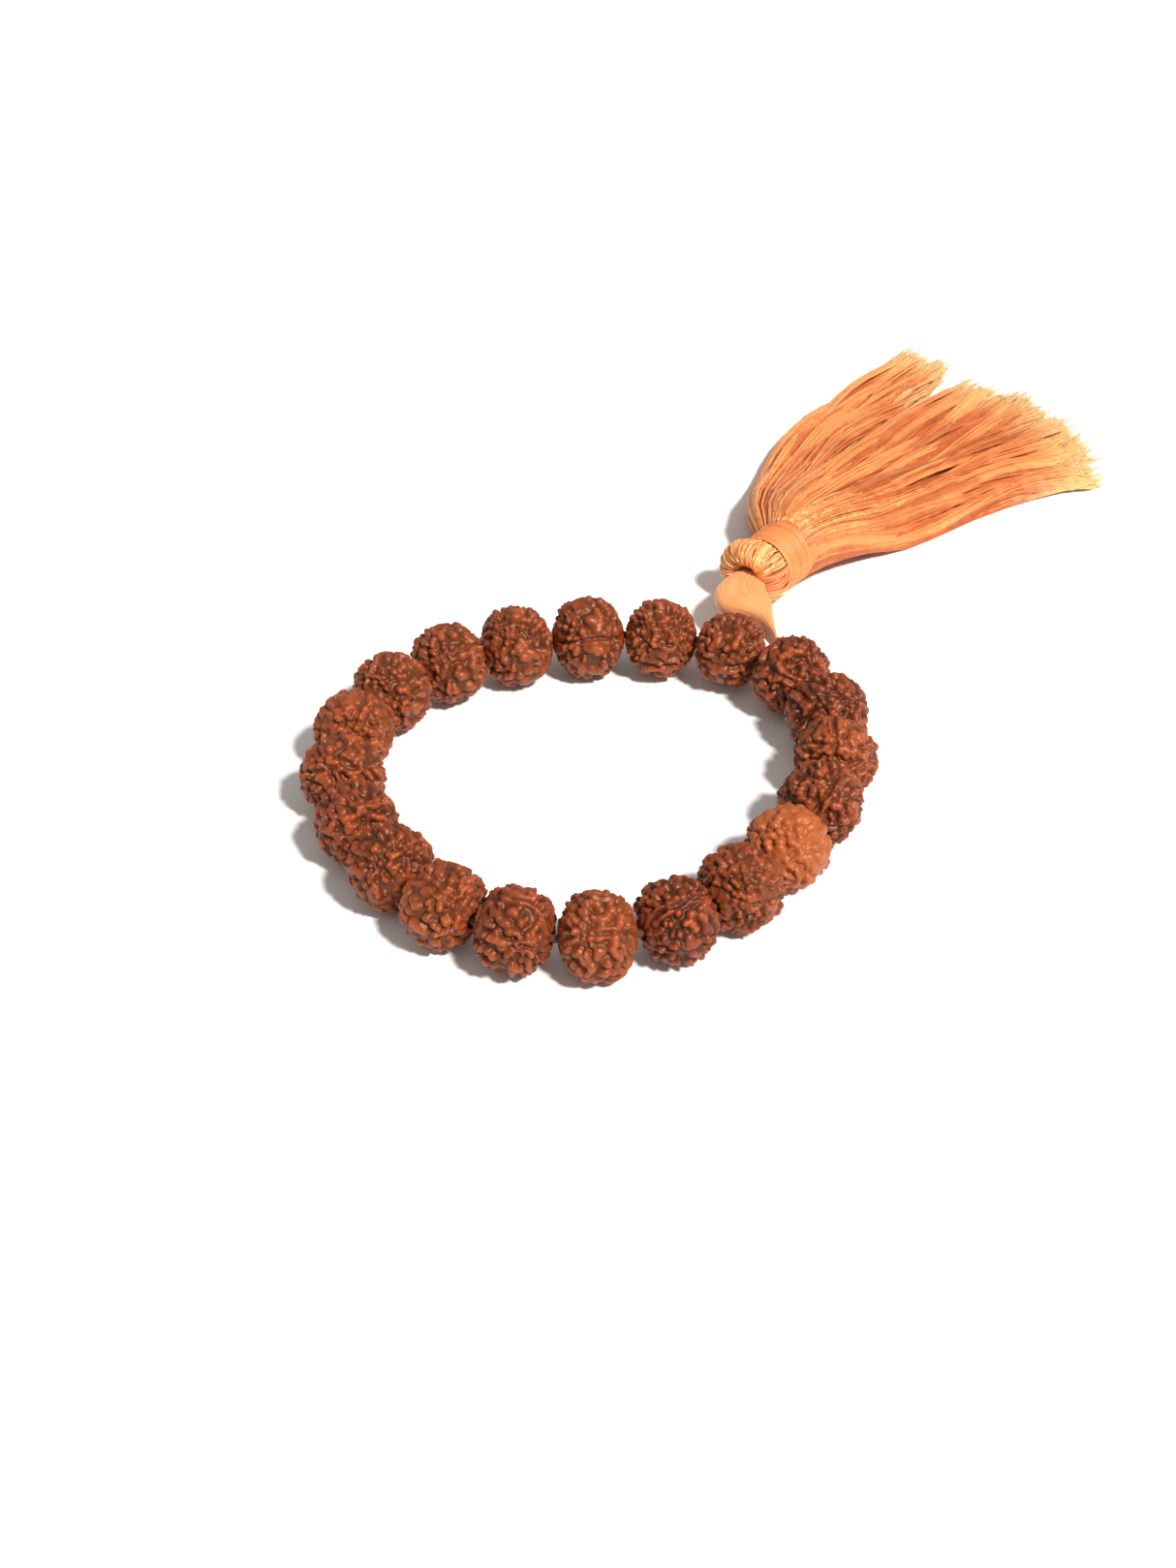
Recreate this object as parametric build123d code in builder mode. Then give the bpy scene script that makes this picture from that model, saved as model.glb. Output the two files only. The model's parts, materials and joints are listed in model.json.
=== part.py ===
"""Wrist mala: twenty rudraksha seed beads on an elastic cord, with a silk tassel between two beads.

The string lies flat on a table as a soft, slightly three-cornered loop. Z is up and the table is
z = 0. The origin is the middle of the loop on the table, and +Y runs from there to the gap that
the tassel hangs from. Beads are numbered clockwise, seen from above, from that gap.
"""
import os
from cmath import exp
from math import cos, pi, radians, sin

from build123d import *

os.makedirs("parts", exist_ok=True)

# Beads, in millimetres. The length is along the hole.
bead_count = 20
bead_diameter = 11.0
bead_length = 9.24
bead_bore = 1.7
bead_turn_step = 47.0
face_lines = 5
face_line_width = 0.5
face_line_depth = 0.4
cutter_margin = 0.6
pole_skin = 0.05

# Elastic cord, and the knot that is pulled into a wider pocket in one bead.
bead_pitch = 10.0
cord_diameter = 1.0
cord_bend_gap = 0.17
knot_bead = 11
knot_diameter = 2.3
knot_length = 2.2
knot_pocket = 2.9
knot_pocket_depth = 4.0

# How the string turns at each gap between beads, in degrees.
oval_turn = 2.3
corner_turn = 6.3
corner_phase = 43.0

# Tassel loop: a flat eye round the cord, a thin stem between two beads, and a fanned skein.
string_height = bead_diameter / 2
eye_diameter = 2.0
eye_bore = 1.26
eye_thickness = 0.24
stem_height = 1.6
skein_thickness = 3.2
skein_bevel = 0.9

# Tassel head and skirt, along an axis that starts at the pinch of the skein.
pinch = Vector(-15.0, 49.2, 5.1)
tassel_heading = 95.5
crown_diameter = 10.0
crown_length = 6.2
crown_dimple = 3.6
crown_mouth_depth = 1.6
core_diameter = 7.0
core_inset = 2.0
socket_depth = 2.6
root_ball_diameter = 6.6
root_neck_offset = 3.3
root_neck_width = 6.4
root_neck_height = 3.8
bend_offset = 1.0
neck_diameter = 8.9
neck_length = 3.5
wrap_turns = 7
skirt_length = 58.0
skirt_root_width = 11.0
skirt_root_height = 9.0
skirt_tip_width = 46.0
skirt_tip_height = 3.0
skirt_bulge = 3.0
table_clearance = 0.12
gold_diameter = 0.35
gold_count = 7
gold_reach = 0.45
gold_lean = 75.0
gold_spread = 0.6
gold_lift = 0.3


def walk_string(trim):
    """Walk the string one pitch at a time and return its gaps and the place where it ends.

    The turn at a gap is an even share of a full turn, plus a twice-round and a three-times-round
    wave, plus a once-round trim whose two parts are the real and imaginary part of the argument.
    """
    place = 0j
    heading = 0.0
    gaps = []
    for gap in range(bead_count):
        around = 2 * pi * gap / bead_count
        turn = 360 / bead_count + oval_turn * cos(2 * around)
        turn += corner_turn * cos(3 * around - radians(corner_phase))
        turn += trim.real * cos(around) + trim.imag * sin(around)
        heading -= radians(turn)
        gaps.append(place)
        place += bead_pitch * exp(1j * heading)
    return gaps, place


def cross(first, second):
    """Signed area of the parallelogram on two plane vectors held as complex numbers."""
    return (first.conjugate() * second).imag


def closed_string():
    """Gaps of the string, with the trim chosen by Newton's rule so that its end meets its start."""
    trim = 0j
    nudge = 0.01
    for _ in range(8):
        miss = walk_string(trim)[1]
        by_real = (walk_string(trim + nudge)[1] - miss) / nudge
        by_imag = (walk_string(trim + nudge * 1j)[1] - miss) / nudge
        area = cross(by_real, by_imag)
        trim -= complex(cross(miss, by_imag), cross(by_real, miss)) / area
    gaps = walk_string(trim)[0]
    middle = sum(gaps) / bead_count
    turn_to_y = 1j * abs(gaps[0] - middle) / (gaps[0] - middle)
    placed = [(gap - middle) * turn_to_y for gap in gaps]
    return [Vector(gap.real, gap.imag, string_height) for gap in placed]


string_gaps = closed_string()

# One seed about the X axis: an oblate body with a bore, and five face lines from hole to hole.
with BuildPart() as seed:
    with BuildSketch(Plane.XY):
        Ellipse(bead_length / 2, bead_diameter / 2)
        Rectangle(bead_length, bead_bore, mode=Mode.SUBTRACT)
        Rectangle(bead_length, bead_diameter, align=(Align.CENTER, Align.MAX), mode=Mode.SUBTRACT)
    revolve(axis=Axis.X)
    for line in range(face_lines):
        line_angle = radians(360 * line / face_lines)
        with BuildSketch(Plane((0, 0, 0), x_dir=(1, 0, 0), z_dir=(0, -sin(line_angle), cos(line_angle)))):
            Ellipse(bead_length / 2 + cutter_margin, bead_diameter / 2 + cutter_margin)
            Ellipse(bead_length / 2 + pole_skin, bead_diameter / 2 - face_line_depth, mode=Mode.SUBTRACT)
            Rectangle(
                bead_length * 2,
                bead_diameter,
                align=(Align.CENTER, Align.MAX),
                mode=Mode.SUBTRACT,
            )
            Rectangle(bead_length * 2, bead_bore * 2, mode=Mode.SUBTRACT)
        extrude(amount=face_line_width / 2, both=True, mode=Mode.SUBTRACT)

# Beads: the seed set on each straight of the string, each turned to its own angle round the cord.
for index in range(bead_count):
    start = string_gaps[index]
    end = string_gaps[(index + 1) % bead_count]
    along = (end - start).normalized()
    seat = Plane((start + end) * 0.5, x_dir=along, z_dir=(0, 0, 1))
    with BuildPart() as bead:
        with Locations(seat.location * Rotation(bead_turn_step * index, 0, 0)):
            add(seed.part)
        if index + 1 == knot_bead:
            with BuildSketch(Plane(seat.origin, z_dir=along)):
                Circle(knot_pocket / 2)
            extrude(amount=knot_pocket_depth / 2, both=True, mode=Mode.SUBTRACT)
    bead.part.label = f"bead_{index + 1:02d}"
    export_step(bead.part, f"parts/{bead.part.label}.step")

# Elastic cord: one straight of cord through each bead, stopping just short of the bend at each gap.
for index in range(bead_count):
    start = string_gaps[index]
    end = string_gaps[(index + 1) % bead_count]
    along = (end - start).normalized()
    with BuildPart() as cord:
        with BuildSketch(Plane(start + along * cord_bend_gap, z_dir=along)):
            Circle(cord_diameter / 2)
        extrude(amount=bead_pitch - 2 * cord_bend_gap)
    cord.part.label = f"cord_{index + 1:02d}"
    export_step(cord.part, f"parts/{cord.part.label}.step")

# Cord knot: the tied ends of the elastic, a lump round the cord that sits in one bead's pocket.
knot_start = string_gaps[knot_bead - 1]
knot_along = (string_gaps[knot_bead] - knot_start).normalized()
knot_middle = knot_start + knot_along * (bead_pitch / 2)
with BuildPart() as cord_knot:
    with BuildSketch(Plane(knot_middle, x_dir=knot_along, z_dir=(0, 0, 1))):
        Ellipse(knot_length / 2, knot_diameter / 2)
        Rectangle(knot_length, cord_diameter, mode=Mode.SUBTRACT)
        Rectangle(knot_length, knot_diameter, align=(Align.CENTER, Align.MAX), mode=Mode.SUBTRACT)
    revolve(axis=Axis(knot_middle, knot_along))
cord_knot.part.label = "cord_knot"
export_step(cord_knot.part, "parts/cord_knot.step")

# Tassel loop: the silk skein's flat eye round the cord at the first gap, its thin stem between the
# two beads there, and the fan of the skein, which narrows again to a pinch in the tassel's head.
loop_root = string_gaps[0]
before_root = (loop_root - string_gaps[-1]).normalized()
after_root = (string_gaps[1] - loop_root).normalized()
eye_axis = (before_root + after_root).normalized()
loop_plane = Plane(loop_root, x_dir=(1, 0, 0), z_dir=(0, 0, 1))
stem_plane = Plane(loop_root, x_dir=eye_axis, z_dir=(0, 0, 1))
with BuildPart() as tassel_loop:
    with BuildSketch(loop_plane):
        with BuildLine():
            left_edge = Spline((-11.8, 4.3), (-14.4, 8.2), (-15.5, 11.4), (-15.9, 14.3))
            pinch_edge = Line(left_edge @ 1, (-13.9, 13.6))
            right_edge = Spline(pinch_edge @ 1, (-9.4, 11.4), (-5.2, 9.2), (-0.4, 6.6))
            lower_edge = Spline(right_edge @ 1, (-3.0, 6.4), (-5.8, 6.2), (-8.6, 5.2), left_edge @ 0)
        make_face()
    extrude(amount=skein_thickness / 2, both=True)
    flat_rims = tassel_loop.edges().group_by(Axis.Z)
    chamfer(flat_rims[0] + flat_rims[-1], skein_bevel)
    with BuildSketch(stem_plane):
        with BuildLine():
            Polyline(
                (-0.14, 0.85),
                (-0.4, 2.4),
                (-0.9, 4.0),
                (-1.8, 5.4),
                (-3.4, 7.0),
                (-1.0, 7.4),
                (0.2, 5.4),
                (0.6, 4.0),
                (0.45, 2.4),
                (0.14, 0.85),
                close=True,
            )
        make_face()
    extrude(amount=stem_height / 2, both=True)
    with BuildSketch(Plane(loop_root, z_dir=eye_axis)):
        Circle(eye_diameter / 2)
        Circle(eye_bore / 2, mode=Mode.SUBTRACT)
    extrude(amount=eye_thickness / 2, both=True)
tassel_loop.part.label = "tassel_loop"
export_step(tassel_loop.part, "parts/tassel_loop.step")

# Directions of the tassel: along its axis from the pinch, and across it to the left.
heading = radians(tassel_heading)
tassel_axis = Vector(cos(heading), sin(heading), 0)
across = Vector(-sin(heading), cos(heading), 0)


def tassel_plane(distance, height):
    """Plane square to the tassel's axis at a distance from the pinch, at a height above the table.

    Its X points to the tassel's left and its Y points up.
    """
    origin = pinch + tassel_axis * distance
    return Plane((origin.X, origin.Y, height), x_dir=across, z_dir=tassel_axis)


neck_start = crown_length
neck_end = crown_length + neck_length
head_axis = Axis(pinch, tassel_axis)
head_plane = Plane(pinch, x_dir=tassel_axis, z_dir=(0, 0, 1))

# Tassel core: the bundle of folded threads under crown and wrap. It stops short of the wrap's open
# end, which leaves a socket for the skirt's round root.
with BuildPart() as tassel_core:
    with BuildSketch(tassel_plane(neck_start - core_inset, pinch.Z)):
        Circle(core_diameter / 2)
    extrude(amount=core_inset + neck_length - socket_depth)
tassel_core.part.label = "tassel_core"
export_step(tassel_core.part, "parts/tassel_core.step")

# Tassel crown: the threads folded over the skein, a dome with a dimple where the skein comes out.
with BuildPart() as tassel_crown:
    with BuildSketch(head_plane):
        with BuildLine():
            shoulder = crown_diameter / 2
            dimple = crown_dimple / 2
            mouth = Line((crown_mouth_depth, 0), (0.2, dimple))
            rim = Spline(
                mouth @ 1,
                (1.3, shoulder - 0.9),
                (3.4, shoulder),
                (neck_start, neck_diameter / 2 - 0.4),
                tangents=((0.1, 1), (1, -0.35)),
            )
            Polyline(
                rim @ 1,
                (neck_start, core_diameter / 2),
                (neck_start - core_inset, core_diameter / 2),
                (neck_start - core_inset, 0),
                mouth @ 0,
            )
        make_face()
    revolve(axis=head_axis)
tassel_crown.part.label = "tassel_crown"
export_step(tassel_crown.part, "parts/tassel_crown.step")

# Neck wrap: silk wound round the core in close turns, drawn as a sleeve with a bead for each turn.
turn_width = neck_length / wrap_turns
with BuildPart() as neck_wrap:
    with BuildSketch(head_plane):
        with Locations((neck_start, core_diameter / 2)):
            Rectangle(
                neck_length,
                (neck_diameter - core_diameter - turn_width) / 2,
                align=(Align.MIN, Align.MIN),
            )
        for turn in range(wrap_turns):
            with Locations((neck_start + turn_width * (turn + 0.5), (neck_diameter - turn_width) / 2)):
                Circle(turn_width / 2)
    revolve(axis=head_axis)
neck_wrap.part.label = "tassel_neck_wrap"
export_step(neck_wrap.part, "parts/tassel_neck_wrap.step")

# Tassel skirt: the cut ends of the threads, from a round root in the wrap's open end, on which it
# bends, to a fan that lies flat on the table.
skirt_shares = (0.12, 0.25, 0.45, 0.7, 1.0)


def skirt_size(share):
    """Width, height and sideways bulge of the skirt at a share of its length.

    The width opens as a quarter sine wave, the height falls in a straight line, and the bulge is a
    half sine wave that is zero at both ends.
    """
    width = skirt_root_width + (skirt_tip_width - skirt_root_width) * sin(pi / 2 * share)
    height = skirt_root_height + (skirt_tip_height - skirt_root_height) * share
    return width, height, skirt_bulge * sin(pi * share)


def skirt_plane(share):
    """Plane square to the tassel at a share of the skirt, with its origin in the bundle's middle."""
    width, height, bulge = skirt_size(share)
    plane = tassel_plane(neck_end + skirt_length * share, height / 2 + table_clearance)
    return Plane(plane.origin + across * bulge, x_dir=plane.x_dir, z_dir=plane.z_dir)


bend_centre = pinch + tassel_axis * (neck_end + bend_offset)
with BuildPart() as tassel_skirt:
    with BuildSketch(tassel_plane(neck_end + root_neck_offset, pinch.Z)):
        Ellipse(root_neck_width / 2, root_neck_height / 2)
    for share in skirt_shares:
        with BuildSketch(skirt_plane(share)):
            Ellipse(skirt_size(share)[0] / 2, skirt_size(share)[1] / 2)
    loft()
    with Locations(bend_centre):
        Sphere(root_ball_diameter / 2)
tassel_skirt.part.label = "tassel_skirt"
export_step(tassel_skirt.part, "parts/tassel_skirt.step")

# Gold threads of the head: metallic strands that lie over the crown from the dimple to the wrap.
with BuildPart() as gold_head:
    for strand in range(gold_count):
        lean = radians(gold_lean * (2 * strand / (gold_count - 1) - 1))
        outward = across * sin(lean) + Vector(0, 0, 1) * cos(lean)
        strand_plane = Plane(pinch, x_dir=tassel_axis, z_dir=tassel_axis.cross(outward))
        with BuildLine(strand_plane) as strand_line:
            Spline((0.1, 3.1), (1.1, 4.5), (3.3, 5.3), (crown_length - 0.4, 4.8))
        with BuildSketch(Plane(strand_line.line @ 0, z_dir=strand_line.line % 0)):
            Circle(gold_diameter / 2)
        sweep(path=strand_line.line)
gold_head.part.label = "gold_threads_head"
export_step(gold_head.part, "parts/gold_threads_head.step")

# Gold threads of the skirt: metallic strands that lie on its top, from the wrap outwards.
with BuildPart() as gold_skirt:
    for strand in range(gold_count):
        side = gold_spread * (2 * strand / (gold_count - 1) - 1)
        points = []
        for share in (0.08, 0.2, 0.32, gold_reach):
            width, height, bulge = skirt_size(share)
            rise = height / 2 * (1 - side**2) ** 0.5 + gold_diameter + gold_lift
            points.append(skirt_plane(share).from_local_coords(Vector(side * width / 2, rise, 0)))
        with BuildLine() as strand_line:
            Spline(*points)
        with BuildSketch(Plane(strand_line.line @ 0, z_dir=strand_line.line % 0)):
            Circle(gold_diameter / 2)
        sweep(path=strand_line.line)
gold_skirt.part.label = "gold_threads_skirt"
export_step(gold_skirt.part, "parts/gold_threads_skirt.step")
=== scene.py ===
"""Wrist mala: the looks of a string of seed beads and its silk tassel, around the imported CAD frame.

Lengths are in metres, Z is up and the table is z = 0.
"""
import json

from math import asin, cos, pi, radians, sin

import bpy
import numpy as np
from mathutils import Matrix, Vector


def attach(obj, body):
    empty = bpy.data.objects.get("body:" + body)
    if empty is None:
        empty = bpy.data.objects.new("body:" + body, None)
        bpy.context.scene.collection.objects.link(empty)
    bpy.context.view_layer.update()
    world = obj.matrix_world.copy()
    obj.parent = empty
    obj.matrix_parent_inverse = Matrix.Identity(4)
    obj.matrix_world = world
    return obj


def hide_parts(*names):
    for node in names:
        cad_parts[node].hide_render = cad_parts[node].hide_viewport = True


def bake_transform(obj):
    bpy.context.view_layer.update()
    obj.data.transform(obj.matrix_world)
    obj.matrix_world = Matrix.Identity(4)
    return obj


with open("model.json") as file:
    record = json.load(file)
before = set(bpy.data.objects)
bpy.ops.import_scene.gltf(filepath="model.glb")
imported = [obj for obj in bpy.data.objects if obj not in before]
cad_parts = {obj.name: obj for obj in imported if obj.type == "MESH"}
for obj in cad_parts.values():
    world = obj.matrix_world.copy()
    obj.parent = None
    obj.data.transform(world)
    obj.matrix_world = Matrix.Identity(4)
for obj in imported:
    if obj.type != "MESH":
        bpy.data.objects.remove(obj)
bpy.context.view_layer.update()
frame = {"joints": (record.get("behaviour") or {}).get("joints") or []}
mm = 0.001

# Camera: a long lens that looks down on the string from its front right, with the tassel behind.
aim = Vector((-3.2, 2.8, 0.0)) * mm
aim_heading = radians(-46.73)
aim_height = radians(37.08)
aim_distance = 354.8 * mm
camera = bpy.data.objects.new("camera", bpy.data.cameras.new("camera"))
bpy.context.scene.collection.objects.link(camera)
bpy.context.scene.camera = camera
camera.data.sensor_fit = "VERTICAL"
camera.data.sensor_height = 36
camera.data.lens = 62.83
camera.data.clip_start = 0.02
camera_way = Vector(
    (cos(aim_height) * cos(aim_heading), cos(aim_height) * sin(aim_heading), sin(aim_height))
)
camera.location = aim + camera_way * aim_distance
camera.rotation_euler = (-camera_way).to_track_quat("-Z", "Y").to_euler()

# Light: one high soft key from the right, whose shadows fall left, under an even warm sky. A view
# that looks past the table sees a plain pale backdrop.
key = bpy.data.objects.new("key_light", bpy.data.lights.new("key_light", "SUN"))
bpy.context.scene.collection.objects.link(key)
key_heading = radians(-8)
key_height = radians(51)
key_way = Vector(
    (cos(key_height) * cos(key_heading), cos(key_height) * sin(key_heading), sin(key_height))
)
key.rotation_euler = key_way.to_track_quat("Z", "Y").to_euler()
key.data.energy = 4.7
key.data.angle = radians(7)
key.data.color = (1.0, 0.985, 0.965)
sky = bpy.data.worlds.new("pale_sky")
sky.use_nodes = True
sky_nodes, sky_link = sky.node_tree.nodes, sky.node_tree.links.new
glow = sky_nodes["Background"]
glow.inputs["Color"].default_value = (1.0, 0.945, 0.90, 1)
glow.inputs["Strength"].default_value = 0.45
backdrop = sky_nodes.new("ShaderNodeBackground")
backdrop.inputs["Color"].default_value = (0.93, 0.93, 0.93, 1)
seen = sky_nodes.new("ShaderNodeLightPath")
choose = sky_nodes.new("ShaderNodeMixShader")
sky_link(seen.outputs["Is Camera Ray"], choose.inputs["Fac"])
sky_link(glow.outputs["Background"], choose.inputs[1])
sky_link(backdrop.outputs["Background"], choose.inputs[2])
sky_link(choose.outputs["Shader"], sky_nodes["World Output"].inputs["Surface"])
bpy.context.scene.world = sky
bpy.context.scene.view_settings.view_transform = "Standard"
bpy.context.scene.view_settings.look = "None"


# Table: a plain white matt board under the string, large enough to fill every view.
def new_material(name):
    """Empty node material: its Principled shader, its node maker and its linker."""
    made = bpy.data.materials.new(name)
    made.use_nodes = True
    tree = made.node_tree
    shader = tree.nodes["Principled BSDF"]

    def node(kind, **values):
        """One node, with plain properties by name and socket values by socket name."""
        new = tree.nodes.new(kind)
        for key_name, value in values.items():
            if key_name in new.inputs:
                new.inputs[key_name].default_value = value
            else:
                setattr(new, key_name, value)
        return new

    return made, shader, node, tree.links.new


def paint_table():
    """Matt white with the faintest cloud in it."""
    made, shader, node, link = new_material("white_board")
    place = node("ShaderNodeTexCoord")
    cloud = node("ShaderNodeTexNoise", Scale=9.0, Detail=3.0)
    tint = node("ShaderNodeMix", data_type="RGBA")
    tint.inputs["A"].default_value = (0.90, 0.90, 0.895, 1)
    tint.inputs["B"].default_value = (0.93, 0.93, 0.93, 1)
    link(place.outputs["Object"], cloud.inputs["Vector"])
    link(cloud.outputs["Fac"], tint.inputs["Factor"])
    link(tint.outputs["Result"], shader.inputs["Base Color"])
    shader.inputs["Roughness"].default_value = 0.8
    shader.inputs["Specular IOR Level"].default_value = 0.2
    return made


table_size = 6.0
table_drop = 0.1 * mm
table_corners = ((-1, -1), (1, -1), (1, 1), (-1, 1))
board = bpy.data.meshes.new("table_top")
board.from_pydata(
    [(x * table_size, y * table_size, -table_drop) for x, y in table_corners], [], [(0, 1, 2, 3)]
)
table_top = bpy.data.objects.new("table_top", board)
bpy.context.scene.collection.objects.link(table_top)
table_top.data.materials.append(paint_table())


# Seed beads: dried five-faced rudraksha seeds, drilled through and oiled. Every seed has its own
# lumps, its own size and its own tone, and each is threaded on the cord through its hole.
def make_piece(name, points, material, loop_rows=False, values=None, thread_length=None):
    """Mesh object from a grid of points shaped (strips, rows, columns, 3).

    Columns run round each strip and close on themselves. Rows close too when loop_rows is true,
    and otherwise each strip gets a flat cap at both ends. Values are per-point arrays by name. With
    a thread length the piece gets a UV map: u goes once round, v is the distance along in mm.
    """
    strips, rows, cols = points.shape[:3]
    steps = rows if loop_rows else rows - 1
    counts = (np.arange(strips), np.arange(steps), np.arange(cols))
    strip, row, col = np.meshgrid(*counts, indexing="ij")
    first = strip * rows * cols

    def corner(r, c):
        """Index of the point at a row and column, both wrapped round."""
        return first + (r % rows) * cols + c % cols

    quads = np.stack(
        [corner(row, col), corner(row, col + 1), corner(row + 1, col + 1), corner(row + 1, col)], -1
    ).reshape(-1, 4)
    flat = points.reshape(-1, 3)
    a, b, c, d = (flat[quads[:, k]] for k in range(4))
    volume = np.einsum("ij,ij->i", a, np.cross(b, c) + np.cross(c, d)).sum()
    ends = np.zeros((0, cols), int)
    if not loop_rows:
        ring = np.arange(cols)[None] + (np.arange(strips) * rows * cols)[:, None]
        ends = np.concatenate([ring[:, ::-1], ring + (rows - 1) * cols])
    if volume < 0:
        quads = quads[:, ::-1]
        ends = ends[:, ::-1]
    corners = np.concatenate([quads.ravel(), ends.ravel()])
    sizes = np.concatenate([np.full(len(quads), 4), np.full(len(ends), cols)])
    mesh = bpy.data.meshes.new(name)
    mesh.vertices.add(len(flat))
    mesh.vertices.foreach_set("co", flat.astype(np.float32).ravel())
    mesh.loops.add(len(corners))
    mesh.loops.foreach_set("vertex_index", corners.astype(np.int32))
    mesh.polygons.add(len(sizes))
    starts = np.concatenate([[0], np.cumsum(sizes)[:-1]])
    mesh.polygons.foreach_set("loop_start", starts.astype(np.int32))
    mesh.polygons.foreach_set("loop_total", sizes.astype(np.int32))
    mesh.update(calc_edges=True)
    mesh.polygons.foreach_set("use_smooth", np.repeat([True, False], [len(quads), len(ends)]))
    for label, per_point in (values or {}).items():
        full = np.broadcast_to(per_point, points.shape[:3]).astype(np.float32)
        mesh.attributes.new(label, "FLOAT", "POINT").data.foreach_set("value", full.ravel())
    if thread_length is not None:
        round_share = np.arange(cols)[None, None] / cols + np.zeros((strips, rows, 1))
        along = np.broadcast_to(thread_length[..., None], (strips, rows, cols)) / mm
        uv = np.stack([round_share, along], -1).reshape(-1, 2)[corners]
        wrapped = uv[: quads.size].reshape(-1, 4, 2)
        seam = (wrapped[..., 0].max(1) - wrapped[..., 0].min(1)) > 0.5
        wrapped[seam, :, 0] += wrapped[seam, :, 0] < 0.5
        mesh.uv_layers.new(name="thread").data.foreach_set("uv", uv.astype(np.float32).ravel())
    mesh.materials.append(material)
    piece = bpy.data.objects.new(name, mesh)
    bpy.context.scene.collection.objects.link(piece)
    return piece


def unit(vectors):
    """Vectors cut to length one along their last axis."""
    return vectors / np.linalg.norm(vectors, axis=-1, keepdims=True)


def soft_noise(way, rng, pitch, terms=7):
    """Smooth noise over directions: the mean of sine waves along random ways, near one pitch."""
    waves = unit(rng.normal(size=(terms, 3))) * rng.uniform(0.7, 1.3, (terms, 1)) * pitch
    return np.sin(way @ waves.T + rng.uniform(0, 2 * pi, terms)).mean(-1) * 1.6


def lumps(way, rng, count, smooth):
    """Height from 0 to 1 of a seed's lumps over unit directions: domes along short wandering worms.

    Each worm starts at a point of a jittered spiral over the ball and goes a few short steps with a
    turning heading. A dome falls off as one minus the squared distance from its middle, counted in
    dome radii, to the power 0.55. The domes are merged by a soft maximum: the logarithm of the sum
    of their exponentials.
    """
    index = np.arange(count) + 0.5
    lift = 1 - 2 * index / count
    turn = pi * (1 + 5**0.5) * index
    ring = np.sqrt(1 - lift**2)
    place = np.stack([lift, ring * np.cos(turn), ring * np.sin(turn)], -1)
    place = unit(place + rng.normal(size=place.shape) * 0.055)
    heading = unit(np.cross(place, rng.normal(size=place.shape)))
    size = rng.uniform(0.084, 0.146, count) * (1 + 0.25 * smooth)
    tall = rng.uniform(0.60, 1.0, count)
    steps = rng.choice([1, 1, 1, 1, 2, 2, 3], count)
    total = np.zeros(way.shape[:-1])
    sharp = 17.0
    for step in range(4):
        use = steps > step
        near = way @ place[use].T
        gap = np.maximum(2 - 2 * near, 0) / size[use] ** 2
        dome = np.maximum(1 - gap, 0) ** 0.55 * tall[use]
        total = total + np.expm1(sharp * dome).sum(-1)
        swing = rng.normal(size=count)[:, None] * 0.9
        side = np.cross(place, heading)
        heading = unit(heading * np.cos(swing) + side * np.sin(swing))
        place = unit(place + heading * size[:, None] * 0.95)
        heading = unit(heading - place * (heading * place).sum(-1, keepdims=True))
    return np.log1p(total) / sharp


def paint_seed():
    """Oiled seed skin: painted shade black-brown in crevices, glossy red-brown lumps, fine pores."""
    made, shader, node, link = new_material("oiled_seed")
    place = node("ShaderNodeTexCoord")
    relief = node("ShaderNodeAttribute", attribute_name="relief")
    tone = node("ShaderNodeAttribute", attribute_name="tone")
    cloud = node("ShaderNodeTexNoise", Scale=420.0, Detail=4.0, Roughness=0.6)
    pores = node("ShaderNodeTexNoise", Scale=3200.0, Detail=3.0, Roughness=0.65)
    link(place.outputs["Object"], cloud.inputs["Vector"])
    link(place.outputs["Object"], pores.inputs["Vector"])
    wander = node("ShaderNodeMath", operation="MULTIPLY_ADD")
    wander.inputs[1].default_value = 0.42
    wander.inputs[2].default_value = -0.21
    link(cloud.outputs["Fac"], wander.inputs[0])
    shade_and_mottle = node("ShaderNodeMath", operation="ADD", use_clamp=True)
    link(relief.outputs["Fac"], shade_and_mottle.inputs[0])
    link(wander.outputs["Value"], shade_and_mottle.inputs[1])
    # The ramp runs by the relief: the deeper a point, the darker, painted shade in the crevices; the
    # slow cloud adds the seed's own mottle.
    skin = node("ShaderNodeValToRGB")
    stops = skin.color_ramp.elements
    stops[0].position, stops[0].color = 0.08, (0.042, 0.010, 0.004, 1)
    stops[1].position, stops[1].color = 1.0, (0.34, 0.066, 0.018, 1)
    for position, colour in ((0.42, (0.090, 0.018, 0.006, 1)), (0.74, (0.19, 0.033, 0.009, 1))):
        stop = stops.new(position)
        stop.color = colour
    link(shade_and_mottle.outputs["Value"], skin.inputs["Fac"])
    pale = node("ShaderNodeMix", data_type="RGBA", blend_type="MIX")
    pale.inputs["B"].default_value = (0.42, 0.105, 0.028, 1)
    link(tone.outputs["Fac"], pale.inputs["Factor"])
    link(skin.outputs["Color"], pale.inputs["A"])
    link(pale.outputs["Result"], shader.inputs["Base Color"])
    gloss = node("ShaderNodeMapRange")
    gloss.inputs["To Min"].default_value = 0.48
    gloss.inputs["To Max"].default_value = 0.28
    link(cloud.outputs["Fac"], gloss.inputs["Value"])
    link(gloss.outputs["Result"], shader.inputs["Roughness"])
    grain = node("ShaderNodeBump", Strength=0.5, Distance=0.00012)
    link(pores.outputs["Fac"], grain.inputs["Height"])
    link(grain.outputs["Normal"], shader.inputs["Normal"])
    shader.inputs["Specular Tint"].default_value = (1.0, 0.56, 0.38, 1)
    shader.inputs["Specular IOR Level"].default_value = 0.60
    return made


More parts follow.
